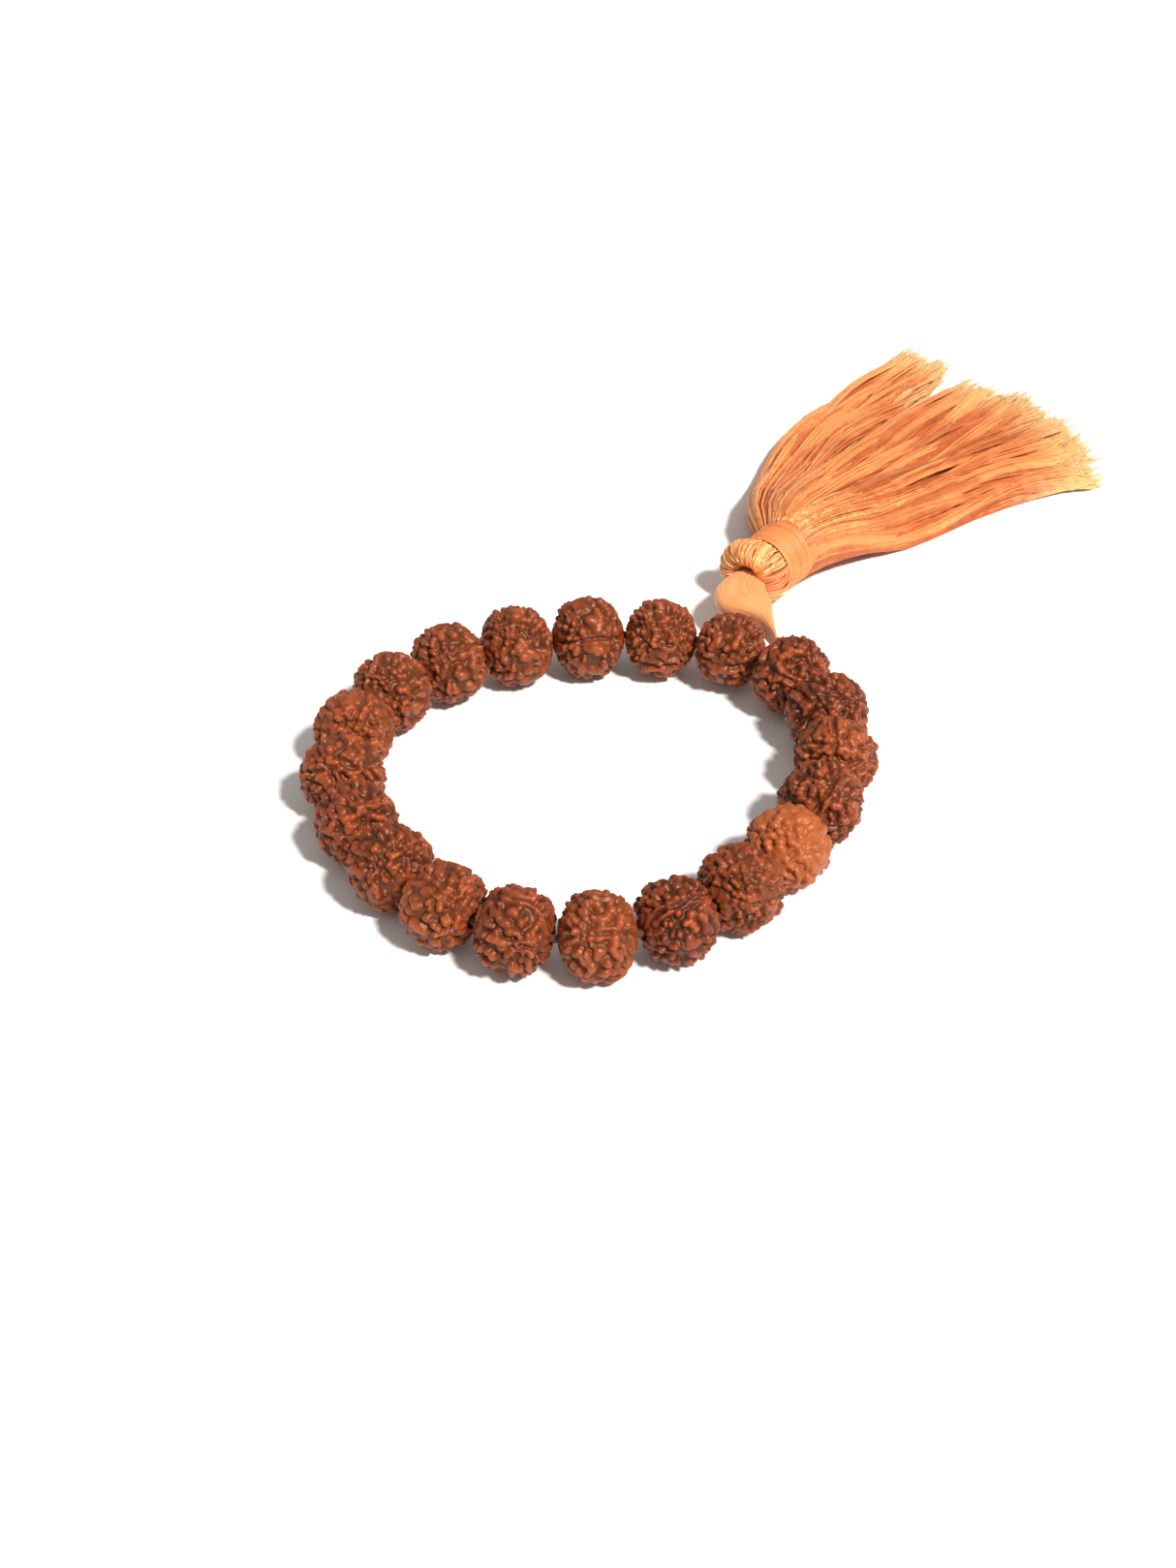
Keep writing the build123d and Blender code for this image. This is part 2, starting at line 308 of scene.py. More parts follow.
oiled_seed = paint_seed()
seed_radius = 5.5 * mm
bore_radius = 0.8 * mm
rind_depth = 1.05 * mm
proud = 0.20 * mm
face_lines = 5
around_steps = 168
along_steps = 92
bore_steps = 5
neighbour_gap = 0.0
silk_gap = 0.34 * mm
fullness = 2.38
bead_count = 20
pale_bead = 5
joints = {joint["name"]: joint for joint in frame["joints"]}
bead_middles = [np.array(joints[f"spin_bead_{n:02d}"]["pos_m"]) for n in range(1, bead_count + 1)]
bead_ways = [np.array(joints[f"spin_bead_{n:02d}"]["axis"]) for n in range(1, bead_count + 1)]
half_pitch = 5.0 * mm
size_of_bead = (
    (1, 0.99), (2, 1.01), (3, 1.0), (4, 0.99), (5, 0.98), (6, 1.0), (7, 0.99), (8, 1.02), (9, 1.0),
    (10, 0.99), (11, 1.0), (12, 0.97), (13, 1.01), (14, 0.98), (15, 0.97), (16, 1.0), (17, 1.0),
    (18, 1.02), (19, 0.96), (20, 0.93),
)


def end_reach(middle_way, next_way, radius, spare):
    """Half length of a bead at one end, where an oval bead just clears its tilted neighbour.

    The plane midway between the two is half a pitch away times the cosine of half their tilt, less
    what is kept spare there for the cord's stretch or for the tassel's silk. Every
    point of the oval stays under it: length x its share along x cosine, plus radius x its share
    across x sine. The longest length that keeps to that is the least one over the whole oval.
    """
    half_tilt = 0.5 * asin(min(1, float(np.linalg.norm(np.cross(middle_way, next_way)))))
    plane = half_pitch * cos(half_tilt) - spare
    lean = np.linspace(0, 0.45 * pi, 200)
    along, out = np.cos(lean) ** (2 / fullness), np.sin(lean) ** (2 / fullness)
    return ((plane - radius * out * sin(half_tilt)) / (along * cos(half_tilt))).min()


for number, size in size_of_bead:
    rng = np.random.default_rng(300 + number)
    smooth = 1.0 if number == pale_bead else rng.uniform(0, 0.5)
    middle = bead_middles[number - 1]
    way = bead_ways[number - 1]
    radius = seed_radius * size
    front_spare = silk_gap if number == bead_count else neighbour_gap
    back_spare = silk_gap if number == 1 else neighbour_gap
    front = end_reach(way, bead_ways[number % bead_count], radius, front_spare)
    back = end_reach(way, bead_ways[number - 2], radius, back_spare)
    rim = asin((bore_radius * 1.25 / radius) ** (fullness / 2))
    tilt = np.linspace(rim, pi - rim, along_steps)[:, None]
    turn = (np.arange(around_steps) / around_steps * 2 * pi)[None]
    ball = np.stack(
        [np.cos(tilt) + 0 * turn, np.sin(tilt) * np.cos(turn), np.sin(tilt) * np.sin(turn)], -1
    )
    stir = np.stack([soft_noise(ball, rng, 7) for _ in range(3)], -1)
    stirred = unit(ball + stir * 0.05)
    height = lumps(stirred, rng, int(212 - 77 * smooth), smooth)
    vein = 1 - np.abs(soft_noise(stirred, rng, 15)) * 2.6
    height = np.maximum(height, np.clip(vein, 0, 1) ** 2 * rng.uniform(0.1, 0.55))
    swell = 0.5 + 0.5 * soft_noise(ball, rng, 3)
    height = height + (0.72 - height) * np.clip(swell - 0.55, 0, 1) * (0.55 + 0.5 * smooth)
    line_strength = rng.uniform(0.25, 0.8)
    line_turn = turn - soft_noise(ball * [1.5, 1, 1], rng, 3) * 0.10
    line_gap = (line_turn * face_lines / (2 * pi) + 0.5) % 1 - 0.5
    line_off = np.abs(line_gap) * 2 * pi / face_lines * np.sin(tilt) * radius / mm
    ledge = np.exp(-(((line_off - 0.62) / 0.34) ** 2))
    ledge = ledge * (0.45 + 0.6 * soft_noise(ball, rng, 9)).clip(0, 1)
    height = np.maximum(height, ledge * 0.92)
    height = height * (1 - line_strength * np.exp(-((line_off / 0.24) ** 2)))
    pole = np.exp(-((np.sin(tilt) * radius / mm / 1.9) ** 4))
    puckers = 0.70 + 0.22 * np.sin(turn * 10 + soft_noise(ball, rng, 4) * 2)
    height = height * (1 - pole) + puckers * pole
    reach = np.where(tilt < pi / 2, front, back)
    full_along = np.sign(np.cos(tilt)) * np.abs(np.cos(tilt)) ** (2 / fullness)
    full_out = np.sin(tilt) ** (2 / fullness)
    skin = np.stack(
        [
            full_along * reach + 0 * turn,
            full_out * np.cos(turn) * radius,
            full_out * np.sin(turn) * radius,
        ],
        -1,
    )
    outward = unit(
        np.stack([ball[..., 0] / reach, ball[..., 1] / radius, ball[..., 2] / radius], -1)
    )
    flare = 1 - pole * 0.75
    raised = (height - 1) * rind_depth * flare + proud * (1 - pole) * np.sin(tilt)
    skin = skin + outward * raised[..., None]
    share = np.linspace(0, 1, bore_steps + 2)[1:-1, None, None]
    wall = skin[-1][None] * (1 - share) + skin[0][None] * share
    narrow = bore_radius / np.linalg.norm(wall[..., 1:], axis=-1, keepdims=True)
    wall = np.concatenate([wall[..., :1], wall[..., 1:] * narrow], -1)
    points = np.concatenate([skin, wall])
    relief = np.concatenate([height, np.full(wall.shape[:2], 0.05)])
    own_turn = radians(47 * (number - 1))
    side = np.cross([0, 0, 1], way) * cos(own_turn) + np.array([0, 0, sin(own_turn)])
    placed = points @ np.stack([way, side, np.cross(way, side)]) + middle
    tone = 0.7 if number == pale_bead else rng.uniform(0.0, 0.22)
    seed = make_piece(
        f"seed_{number:02d}",
        placed[None],
        oiled_seed,
        loop_rows=True,
        values={"relief": relief[None], "tone": tone},
    )
    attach(seed, f"bead_{number:02d}")
    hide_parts(f"bead_{number:02d}")


# Elastic cord: brown braided elastic, one straight through every bead, with round ends that meet at
# the bends. The tied knot is a lump in the middle of one straight.
def tube_strips(paths, radii, sides, guide):
    """Rings of points round many paths: paths (strips, rows, 3), radii (strips, rows)."""
    ahead = unit(np.gradient(paths, axis=1))
    over = unit(np.cross(ahead, guide))
    beside = np.cross(ahead, over)
    turn = np.arange(sides) / sides * 2 * pi
    ring = over[:, :, None] * np.cos(turn)[:, None] + beside[:, :, None] * np.sin(turn)[:, None]
    return paths[:, :, None] + ring * radii[:, :, None, None]


def path_length(paths):
    """Distance along each path at each of its rows."""
    step = np.linalg.norm(np.diff(paths, axis=1), axis=-1)
    return np.concatenate([np.zeros((len(paths), 1)), np.cumsum(step, 1)], 1)


def paint_elastic():
    """Matt brown braid: two crossed sets of diagonal stripes raised over the thread map."""
    made, shader, node, link = new_material("braided_elastic")
    thread = node("ShaderNodeUVMap", uv_map="thread")
    split = node("ShaderNodeSeparateXYZ")
    link(thread.outputs["UV"], split.inputs["Vector"])
    ribs = []
    for lean in (1.0, -1.0):
        slant = node("ShaderNodeMath", operation="MULTIPLY_ADD")
        slant.inputs[1].default_value = lean * 18.0
        wave = node("ShaderNodeMath", operation="MULTIPLY_ADD")
        wave.inputs[1].default_value = 8 * pi
        rib = node("ShaderNodeMath", operation="SINE")
        link(split.outputs["Y"], slant.inputs[0])
        link(split.outputs["X"], wave.inputs[0])
        link(slant.outputs["Value"], wave.inputs[2])
        link(wave.outputs["Value"], rib.inputs[0])
        ribs.append(rib)
    braid = node("ShaderNodeMath", operation="MULTIPLY")
    link(ribs[0].outputs["Value"], braid.inputs[0])
    link(ribs[1].outputs["Value"], braid.inputs[1])
    tint = node("ShaderNodeMix", data_type="RGBA")
    tint.inputs["A"].default_value = (0.075, 0.024, 0.012, 1)
    tint.inputs["B"].default_value = (0.17, 0.060, 0.030, 1)
    link(braid.outputs["Value"], tint.inputs["Factor"])
    link(tint.outputs["Result"], shader.inputs["Base Color"])
    weave = node("ShaderNodeBump", Strength=0.6, Distance=0.00006)
    link(braid.outputs["Value"], weave.inputs["Height"])
    link(weave.outputs["Normal"], shader.inputs["Normal"])
    shader.inputs["Roughness"].default_value = 0.75
    return made


braided_elastic = paint_elastic()
cord_radius = 0.5 * mm
cord_rows = 40
knot_bead = 11
knot_proud, knot_spread = 0.65 * mm, 0.75 * mm
for number in range(1, bead_count + 1):
    middle = bead_middles[number - 1]
    way = bead_ways[number - 1]
    lean = np.linspace(0.02, pi - 0.02, cord_rows)
    reach_out = -np.cos(lean)
    body = half_pitch * np.clip(reach_out * 1.6, -1, 1)
    cap = np.maximum(np.abs(reach_out) * 1.6 - 1, 0) / 0.6
    thick = cord_radius * np.sqrt(np.maximum(1 - cap**2, 0.0004))
    place = body + np.sign(reach_out) * cord_radius * cap
    if number == knot_bead:
        thick = thick + knot_proud * np.exp(-((place / knot_spread) ** 2))
    path = middle + way * place[:, None]
    straight = make_piece(
        f"elastic_{number:02d}",
        tube_strips(path[None], thick[None], 20, np.array([0.0, 0, 1])),
        braided_elastic,
        thread_length=path_length(path[None]),
    )
    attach(straight, f"string_{number:02d}")
    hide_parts(f"cord_{number:02d}")
    if number == knot_bead:
        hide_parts("cord_knot")


# Skein: the pale silk loop that hangs the tassel, an eye round the cord and a flat fan of threads
# that leaves between two beads, bulges behind one of them and is drawn together in the crown.
def spun_silk_group():
    """Shader group of spun silk: thread colour, twist height and roughness.

    The colour goes from the deep to the light one by the thread's own tone and a slow cloud, and on
    to a pale colour: painted light through thin cut ends, and painted highlights on some crown
    threads. The twist is a sine wave round the thread that climbs along.
    """
    group = bpy.data.node_groups.new("spun_silk", "ShaderNodeTree")
    face = group.interface
    for label, kind in (
        ("Deep", "NodeSocketColor"),
        ("Light", "NodeSocketColor"),
        ("Glow Colour", "NodeSocketColor"),
        ("Cloud Scale", "NodeSocketFloat"),
        ("Twists", "NodeSocketFloat"),
    ):
        face.new_socket(name=label, in_out="INPUT", socket_type=kind)
    for label, kind in (
        ("Colour", "NodeSocketColor"),
        ("Roughness", "NodeSocketFloat"),
        ("Height", "NodeSocketFloat"),
    ):
        face.new_socket(name=label, in_out="OUTPUT", socket_type=kind)
    add, link = group.nodes.new, group.links.new
    into, out = add("NodeGroupInput"), add("NodeGroupOutput")
    place = add("ShaderNodeTexCoord")
    cloud = add("ShaderNodeTexNoise")
    cloud.inputs["Detail"].default_value = 3
    link(place.outputs["Object"], cloud.inputs["Vector"])
    link(into.outputs["Cloud Scale"], cloud.inputs["Scale"])
    tone, glow_share = add("ShaderNodeAttribute"), add("ShaderNodeAttribute")
    tone.attribute_name, glow_share.attribute_name = "tone", "glow_share"
    blend = add("ShaderNodeMath")
    blend.operation = "ADD"
    blend.use_clamp = True
    sway = add("ShaderNodeMath")
    sway.operation = "MULTIPLY_ADD"
    sway.inputs[1].default_value = 0.9
    sway.inputs[2].default_value = -0.45
    link(cloud.outputs["Fac"], sway.inputs[0])
    link(sway.outputs["Value"], blend.inputs[0])
    link(tone.outputs["Fac"], blend.inputs[1])
    body, glow_colour = add("ShaderNodeMix"), add("ShaderNodeMix")
    body.data_type = glow_colour.data_type = "RGBA"
    link(blend.outputs["Value"], body.inputs["Factor"])
    link(into.outputs["Deep"], body.inputs["A"])
    link(into.outputs["Light"], body.inputs["B"])
    link(glow_share.outputs["Fac"], glow_colour.inputs["Factor"])
    link(body.outputs["Result"], glow_colour.inputs["A"])
    link(into.outputs["Glow Colour"], glow_colour.inputs["B"])
    link(glow_colour.outputs["Result"], out.inputs["Colour"])
    thread = add("ShaderNodeUVMap")
    thread.uv_map = "thread"
    split = add("ShaderNodeSeparateXYZ")
    link(thread.outputs["UV"], split.inputs["Vector"])
    climb, wind = add("ShaderNodeMath"), add("ShaderNodeMath")
    climb.operation, wind.operation = "MULTIPLY", "MULTIPLY_ADD"
    wind.inputs[1].default_value = 6 * pi
    link(split.outputs["Y"], climb.inputs[0])
    link(into.outputs["Twists"], climb.inputs[1])
    link(split.outputs["X"], wind.inputs[0])
    link(climb.outputs["Value"], wind.inputs[2])
    ply = add("ShaderNodeMath")
    ply.operation = "SINE"
    link(wind.outputs["Value"], ply.inputs[0])
    link(ply.outputs["Value"], out.inputs["Height"])
    sheen = add("ShaderNodeMapRange")
    sheen.inputs["To Min"].default_value = 0.36
    sheen.inputs["To Max"].default_value = 0.56
    link(cloud.outputs["Fac"], sheen.inputs["Value"])
    link(sheen.outputs["Result"], out.inputs["Roughness"])
    return group


spun_silk = spun_silk_group()


def paint_silk(name, deep, light, glow_colour, twists):
    """Silk of one dye lot: the spun silk group with its own colours, soft sheen and fine twist."""
    made, shader, node, link = new_material(name)
    silk = node("ShaderNodeGroup", node_tree=spun_silk)
    for label, value in (("Deep", deep), ("Light", light), ("Glow Colour", glow_colour)):
        silk.inputs[label].default_value = (*value, 1)
    silk.inputs["Cloud Scale"].default_value = 260
    silk.inputs["Twists"].default_value = twists
    ply = node("ShaderNodeBump", Strength=0.35, Distance=0.00003)
    link(silk.outputs["Height"], ply.inputs["Height"])
    link(silk.outputs["Colour"], shader.inputs["Base Color"])
    link(silk.outputs["Roughness"], shader.inputs["Roughness"])
    link(ply.outputs["Normal"], shader.inputs["Normal"])
    shader.inputs["Subsurface Weight"].default_value = 0.3
    shader.inputs["Subsurface Radius"].default_value = (1.0, 0.4, 0.15)
    shader.inputs["Subsurface Scale"].default_value = 0.6 * mm
    shader.inputs["Sheen Weight"].default_value = 0.12
    shader.inputs["Sheen Tint"].default_value = (1.0, 0.62, 0.36, 1)
    shader.inputs["Sheen Roughness"].default_value = 0.4
    return made


def smooth_curve(knots, rows):
    """Smooth curve through knots: cubic Hermite pieces, a knot's slope from its two neighbours."""
    knots = np.asarray(knots, float)
    slope = np.gradient(knots, axis=0)
    spot = np.linspace(0, len(knots) - 1, rows)
    piece = np.minimum(spot.astype(int), len(knots) - 2)
    t = (spot - piece)[:, None]
    start, end = knots[piece], knots[piece + 1]
    return (
        start * (1 + 2 * t) * (1 - t) ** 2
        + slope[piece] * t * (1 - t) ** 2
        + end * t * t * (3 - 2 * t)
        + slope[piece + 1] * t * t * (t - 1)
    )


peach_silk = paint_silk(
    "peach_silk",
    deep=(0.70, 0.25, 0.085),
    light=(0.90, 0.42, 0.165),
    glow_colour=(0.95, 0.62, 0.3),
    twists=2.0,
)
gap_place = np.array(joints["loop_swing"]["pos_m"])
eye_way = np.array(joints["loop_swing"]["axis"])
pinch = np.array(joints["head_turn"]["pos_m"])
tassel_way = unit(np.array(joints["skirt_bend"]["pos_m"]) - pinch)
tassel_left = np.cross([0, 0, 1], tassel_way)
tassel_up = np.array([0.0, 0, 1])
skein_rows, skein_sides, skein_ribs = 90, 260, 52
skein_length = 18 * mm
right_edge = smooth_curve(
    [
        (0.2, 0.7), (0.25, 2.3), (-0.5, 3.9), (-2.5, 5.4), (-5.3, 7.9), (-7.9, 10.6),
        (-10.5, 12.6), (-12.3, 14.6), (-12.9, 16.8),
    ],
    skein_rows,
)
left_edge = smooth_curve(
    [
        (-0.2, 0.7), (-0.35, 2.3), (-1.4, 3.8), (-3.8, 5.4), (-7.6, 6.0), (-12.0, 4.9),
        (-15.6, 7.4), (-17.0, 12.0), (-17.2, 16.8),
    ],
    skein_rows,
)
along = np.linspace(0, 1, skein_rows)[:, None]
turn = (np.arange(skein_sides) / skein_sides * 2 * pi)[None]
rib = np.abs(np.sin(turn * skein_ribs / 2 + 0.5 * np.sin(along * 5 + turn * 3)))
rib = rib * (0.55 + 0.45 * np.sin(turn * 17 + 2 * np.sin(turn * 5)))
half_height = 0.7 + 1.15 * np.clip((along - 0.15) / 0.3, 0, 1)
half_height = half_height - 0.75 * np.clip((along - 0.6) / 0.4, 0, 1)
share = 0.5 - 0.5 * np.cos(turn)
edge_mix = share[..., None] * left_edge[:, None] + (1 - share[..., None]) * right_edge[:, None]
rise = np.sign(np.sin(turn)) * np.abs(np.sin(turn)) ** 0.62 * half_height
stem_sag = 1.4 * np.exp(-(((along - 0.3) / 0.17) ** 2))
rise = rise * (0.95 + 0.06 * rib) - 0.8 * along + 0.5 * np.sin(pi * along) - stem_sag
fan = np.concatenate([edge_mix, rise[..., None]], -1) * mm + gap_place
# The tone follows the ribs: darker between the threads, painted shade in the grooves.
skein_rib_shade = 0.35 + 0.5 * rib * np.ones_like(along)
skein = make_piece(
    "silk_skein",
    fan[None],
    peach_silk,
    values={"tone": skein_rib_shade[None], "glow_share": np.zeros((1, skein_rows, skein_sides))},
    thread_length=np.linspace(0, skein_length, skein_rows)[None],
)
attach(skein, "loop")
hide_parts("tassel_loop")
eye_turn = (np.arange(48) / 48 * 2 * pi)[:, None]
eye_round = (np.arange(16) / 16 * 2 * pi)[None]
eye_out = 0.80 + 0.17 * np.cos(eye_round) * (1 + 0.1 * np.cos(eye_turn * 12))
eye_thick = 0.11 * np.sin(eye_round)
eye_side = np.cross(eye_way, tassel_up)
eye_points = (
    gap_place
    + (
        (eye_out * np.cos(eye_turn))[..., None] * eye_side
        + (eye_out * np.sin(eye_turn))[..., None] * tassel_up
        + (eye_thick + 0 * eye_turn)[..., None] * eye_way
    )
    * mm
)
eye = make_piece(
    "skein_eye",
    eye_points[None],
    peach_silk,
    loop_rows=True,
    values={"tone": np.full((1, 48, 16), 0.5), "glow_share": np.zeros((1, 48, 16))},
)
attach(eye, "loop")


# Crown: orange silk threads folded outwards over the skein, so that a dark hollow is left where the
# skein goes in. A few metallic film threads are folded with them, over a pad of the same silk.
def tassel_point(distance, left, up):
    """Point of the tassel from millimetres along its axis from the pinch, to its left and up."""
    return pinch + (
        distance[..., None] * tassel_way + left[..., None] * tassel_left + up[..., None] * tassel_up
    ) * mm


def paint_gold():
    """Metallic film thread: coloured like the silk, with pale gold flecks painted as glints where it
    is creased.
    """
    made, shader, node, link = new_material("gold_film")
    place = node("ShaderNodeTexCoord")
    crease_and_glint = node("ShaderNodeTexNoise", Scale=1500.0, Detail=2.0)
    tint = node("ShaderNodeMix", data_type="RGBA")
    tint.inputs["A"].default_value = (0.92, 0.34, 0.095, 1)
    tint.inputs["B"].default_value = (1.0, 0.78, 0.34, 1)
    # Painted glints: where the crease noise is high the colour turns pale gold.
    painted_glint = node("ShaderNodeMapRange")
    painted_glint.inputs["From Min"].default_value = 0.47
    painted_glint.inputs["From Max"].default_value = 0.62
    link(place.outputs["Object"], crease_and_glint.inputs["Vector"])
    link(crease_and_glint.outputs["Fac"], painted_glint.inputs["Value"])
    link(painted_glint.outputs["Result"], tint.inputs["Factor"])
    link(tint.outputs["Result"], shader.inputs["Base Color"])
    crinkle = node("ShaderNodeBump", Strength=0.9, Distance=0.0002)
    link(crease_and_glint.outputs["Fac"], crinkle.inputs["Height"])
    link(crinkle.outputs["Normal"], shader.inputs["Normal"])
    shader.inputs["Metallic"].default_value = 0.3
    shader.inputs["Specular Tint"].default_value = (1.0, 0.80, 0.45, 1)
    shader.inputs["Roughness"].default_value = 0.28
    return made


orange_silk = paint_silk(
    "orange_silk",
    deep=(0.47, 0.100, 0.022),
    light=(0.92, 0.315, 0.092),
    glow_colour=(1.0, 0.66, 0.27),
    twists=2.6,
)
gold_film = paint_gold()
crown_middle, crown_half_length = 0.95, 2.45
crown_tube, crown_half_height = 3.05, 1.4
fold_start, fold_end = radians(-62), radians(134)
crown_wide = 1.17
crown_left = 0.35


def crown_strands(name, turns, lift, thickness, sway, material, rng):
    """Threads over the crown: each follows a half oval from the hole over the shoulder to the neck.

    The distance along the axis is the middle less half the length times the cosine of the fold, and
    the distance out is the tube middle plus half the height times its sine. Sideways it is a
    little wider than high, and no thread goes below the table.
    """
    count = len(turns)
    fold = np.linspace(fold_start, fold_end, 26)[None]
    over = lift + rng.normal(size=(count, 1)) * 0.07
    distance = crown_middle - (crown_half_length + over) * np.cos(fold)
    out = crown_tube + (crown_half_height + over) * np.sin(fold)
    swing = sway * rng.normal(size=(count, 1))
    turn = turns[:, None] + swing * np.sin(fold * 1.2 + rng.uniform(0, 6, (count, 1)))
    turn = turn + 0.16 * np.sin(fold)
    wide = 1 + (crown_wide - 1) * np.clip(np.sin(fold), 0, 1)
    left, up = out * np.sin(turn) * wide + crown_left, out * np.cos(turn)
    path = tassel_point(distance, left, up)
    path[..., 2] = np.maximum(path[..., 2], thickness * 1.25 * mm)
    guide = tassel_point(distance, left + np.cos(turn), up - np.sin(turn)) - path
    girth = thickness * mm * np.ones(path.shape[:2]) * rng.uniform(0.8, 1.25, (count, 1))
    tone = 0.3 + 0.55 * rng.random((count, 1, 1))
    # Threads on the crown's lower left side are darkened: painted shade.
    tone = tone - 0.3 * np.clip(np.sin(turn - 0.9), 0, 1)[..., None]
    # Some threads are mixed part way to the silk's pale colour: painted yellowish highlights on the
    # crown.
    strands = make_piece(
        name,
        tube_strips(path, girth, 7, guide),
        material,
        values={"tone": tone, "glow_share": 0.75 * rng.random((count, 1, 1)) ** 3},
        thread_length=path_length(path),
    )
    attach(strands, "head")
    return strands


rng = np.random.default_rng(71)
crown_count = 104
crown_turns = np.arange(crown_count) / crown_count * 2 * pi + rng.normal(size=crown_count) * 0.02
crown = crown_strands(
    "crown_threads",
    crown_turns,
    lift=0.0,
    thickness=0.21,
    sway=0.09,
    material=orange_silk,
    rng=rng,
)
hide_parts("tassel_crown")
gold_crown_count = 16
gold_turns = rng.normal(size=gold_crown_count) * 1.1 + 0.1
gold = crown_strands(
    "gold_crown_threads",
    gold_turns,
    lift=0.24,
    thickness=0.085,
    sway=0.10,
    material=gold_film,
    rng=rng,
)
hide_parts("gold_threads_head")
pad_fold = np.linspace(fold_start, fold_end, 30)[:, None]
pad_distance = crown_middle - (crown_half_length - 0.15) * np.cos(pad_fold)
pad_out = crown_tube + (crown_half_height - 0.15) * np.sin(pad_fold)
back_share = np.linspace(0, 1, 8)[1:-1, None]
pad_back = pad_distance[-1] * (1 - back_share) + pad_distance[0] * back_share
pad_distance = np.concatenate([pad_distance, pad_back])
pad_out = np.concatenate([pad_out, pad_out[-1] * (1 - back_share) + pad_out[0] * back_share])
pad_turn = (np.arange(72) / 72 * 2 * pi)[None]
pad_points = tassel_point(
    pad_distance + 0 * pad_turn, pad_out * np.sin(pad_turn) + crown_left, pad_out * np.cos(pad_turn)
)
# The pad keeps the deep colour: painted shade seen in the gaps between the crown threads.
pad = make_piece(
    "crown_pad",
    pad_points[None],
    orange_silk,
    loop_rows=True,
    values={"tone": np.zeros((1, 1, 1)), "glow_share": np.zeros((1, 1, 1))},
)
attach(pad, "head")


# Neck: the bundle under the crown is bound with one silk thread in close turns, its ends drawn in.
# The wound band widens a little towards the skirt, whose threads come out from under it.
neck_end = 9.7
wrap_start, wrap_end = 2.7, 10.2
wrap_turns = 23
wrap_thread = 0.185 * mm
wrap_rows = wrap_turns * 60
wrap_share = np.linspace(0, 1, wrap_rows)
wrap_turn = wrap_share * wrap_turns * 2 * pi
tuck = np.minimum(1, np.minimum(wrap_share, 1 - wrap_share) * 24)
wrap_out = 3.72 + 0.6 * tuck**0.5 + 0.18 * wrap_share + 0.03 * np.sin(wrap_turn * 0.37)
wrap_distance = wrap_start + (wrap_end - wrap_start) * wrap_share + 0.02 * np.sin(wrap_turn * 1.3)
wrap_path = tassel_point(wrap_distance, wrap_out * np.sin(wrap_turn), wrap_out * np.cos(wrap_turn))
wrap_tone = 0.62 + 0.12 * np.sin(wrap_turn * 0.21)
wrap = make_piece(
    "neck_wrap",
    tube_strips(wrap_path[None], np.full((1, wrap_rows), wrap_thread), 8, tassel_way),
    orange_silk,
    values={"tone": wrap_tone[None, :, None], "glow_share": np.zeros((1, 1, 1))},
    thread_length=path_length(wrap_path[None]),
)
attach(wrap, "head")
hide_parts("tassel_neck_wrap")
core_rows = np.linspace(0, pi, 24)
core_out = 4.25 * np.sin(core_rows) ** 0.2
core_out[0] = core_out[-1] = 0.2
core_distance = 6.3 - 4.0 * np.cos(core_rows)
core_turn = (np.arange(64) / 64 * 2 * pi)[None]
core_points = tassel_point(
    core_distance[:, None] + 0 * core_turn,
    core_out[:, None] * np.sin(core_turn),
    core_out[:, None] * np.cos(core_turn),
)
# The core is near the deep colour: painted shade where it shows between the threads at the neck.
core = make_piece(
    "bound_core",
    core_points[None],
    orange_silk,
    values={"tone": np.full((1, 1, 1), 0.1), "glow_share": np.zeros((1, 1, 1))},
    thread_length=np.linspace(0, 5 * mm, 24)[None],
)
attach(core, "head")
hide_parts("tassel_core")


# Skirt: hundreds of cut silk threads that leave the neck together, part into locks and spread over
# the table. A cleft parts the left locks from the rest, and the cut ends fray into filaments, painted
# pale towards their ends as light shining through them.
skirt_length = 58.0
cleft = 0.48
lowest_path = 0.2


def skirt_place(share, side, height):
    """Point in the skirt from its share along, its side (-1 right, 1 left) and height (0 to 1).

    The left half width grows as a quarter sine wave to the power 0.55 plus a half sine wave, the
    right one in a straight line with a squared flick near its end. The height sinks with a power of
    what is left of the length, and the sides lie lower than the middle once the threads are down on
    the table. The cleft pushes its neighbours apart, less the further they are from it.
    """
    open_up = np.clip(share / 0.06, 0, 1)
    quarter = np.sin(np.clip(share, 0, 1.25) * pi / 2)
    belly = np.sin(pi * np.clip(share, 0, 1))
    left = 4.4 + 0.5 * open_up + 18.0 * np.abs(quarter) ** 0.55 + 1.2 * belly
    flick = np.clip((share - 0.6) / 0.22, 0, 1)
    right = 4.3 + 0.1 * open_up + 16.6 * np.maximum(share, 0) + 3.9 * flick * flick
    across = side * np.where(side > 0, left, right)
    apart = np.sign(side - cleft) * 1.8 * np.exp(-np.abs(side - cleft) / 0.09)
    across = across + apart * np.clip(share, 0, 2) ** 4
    left_over = np.clip(1 - share, 0, 1)
    top = 2.7 + 6.5 * left_over**1.35
    bottom = 0.2 + 0.6 * left_over**3
    round_off = np.sqrt(np.clip(1 - 0.9 * side**2, 0, 1))
    settled = np.clip(share / 0.3, 0, 1)
    settled = settled * settled * (3 - 2 * settled)
    hung = 5.1 + (height * 2 - 1) * 4.4 * round_off
    laid = bottom + (top - bottom) * round_off * height
    return across, hung * (1 - settled) + laid * settled


def skirt_end(side):
    """Share at which a thread is cut: less to the right and at the cleft, more at the left tip."""
    notch = np.exp(-(((side - cleft) / 0.045) ** 2))
    left_tip = np.exp(-(((side - 0.66) / 0.13) ** 2))
    reach = 1.035 - 0.225 * np.clip(-side, 0, 1) ** 1.8 - 0.19 * notch
    return reach + 0.075 * left_tip + 0.08 * np.clip((side - 0.75) / 0.2, 0, 1)


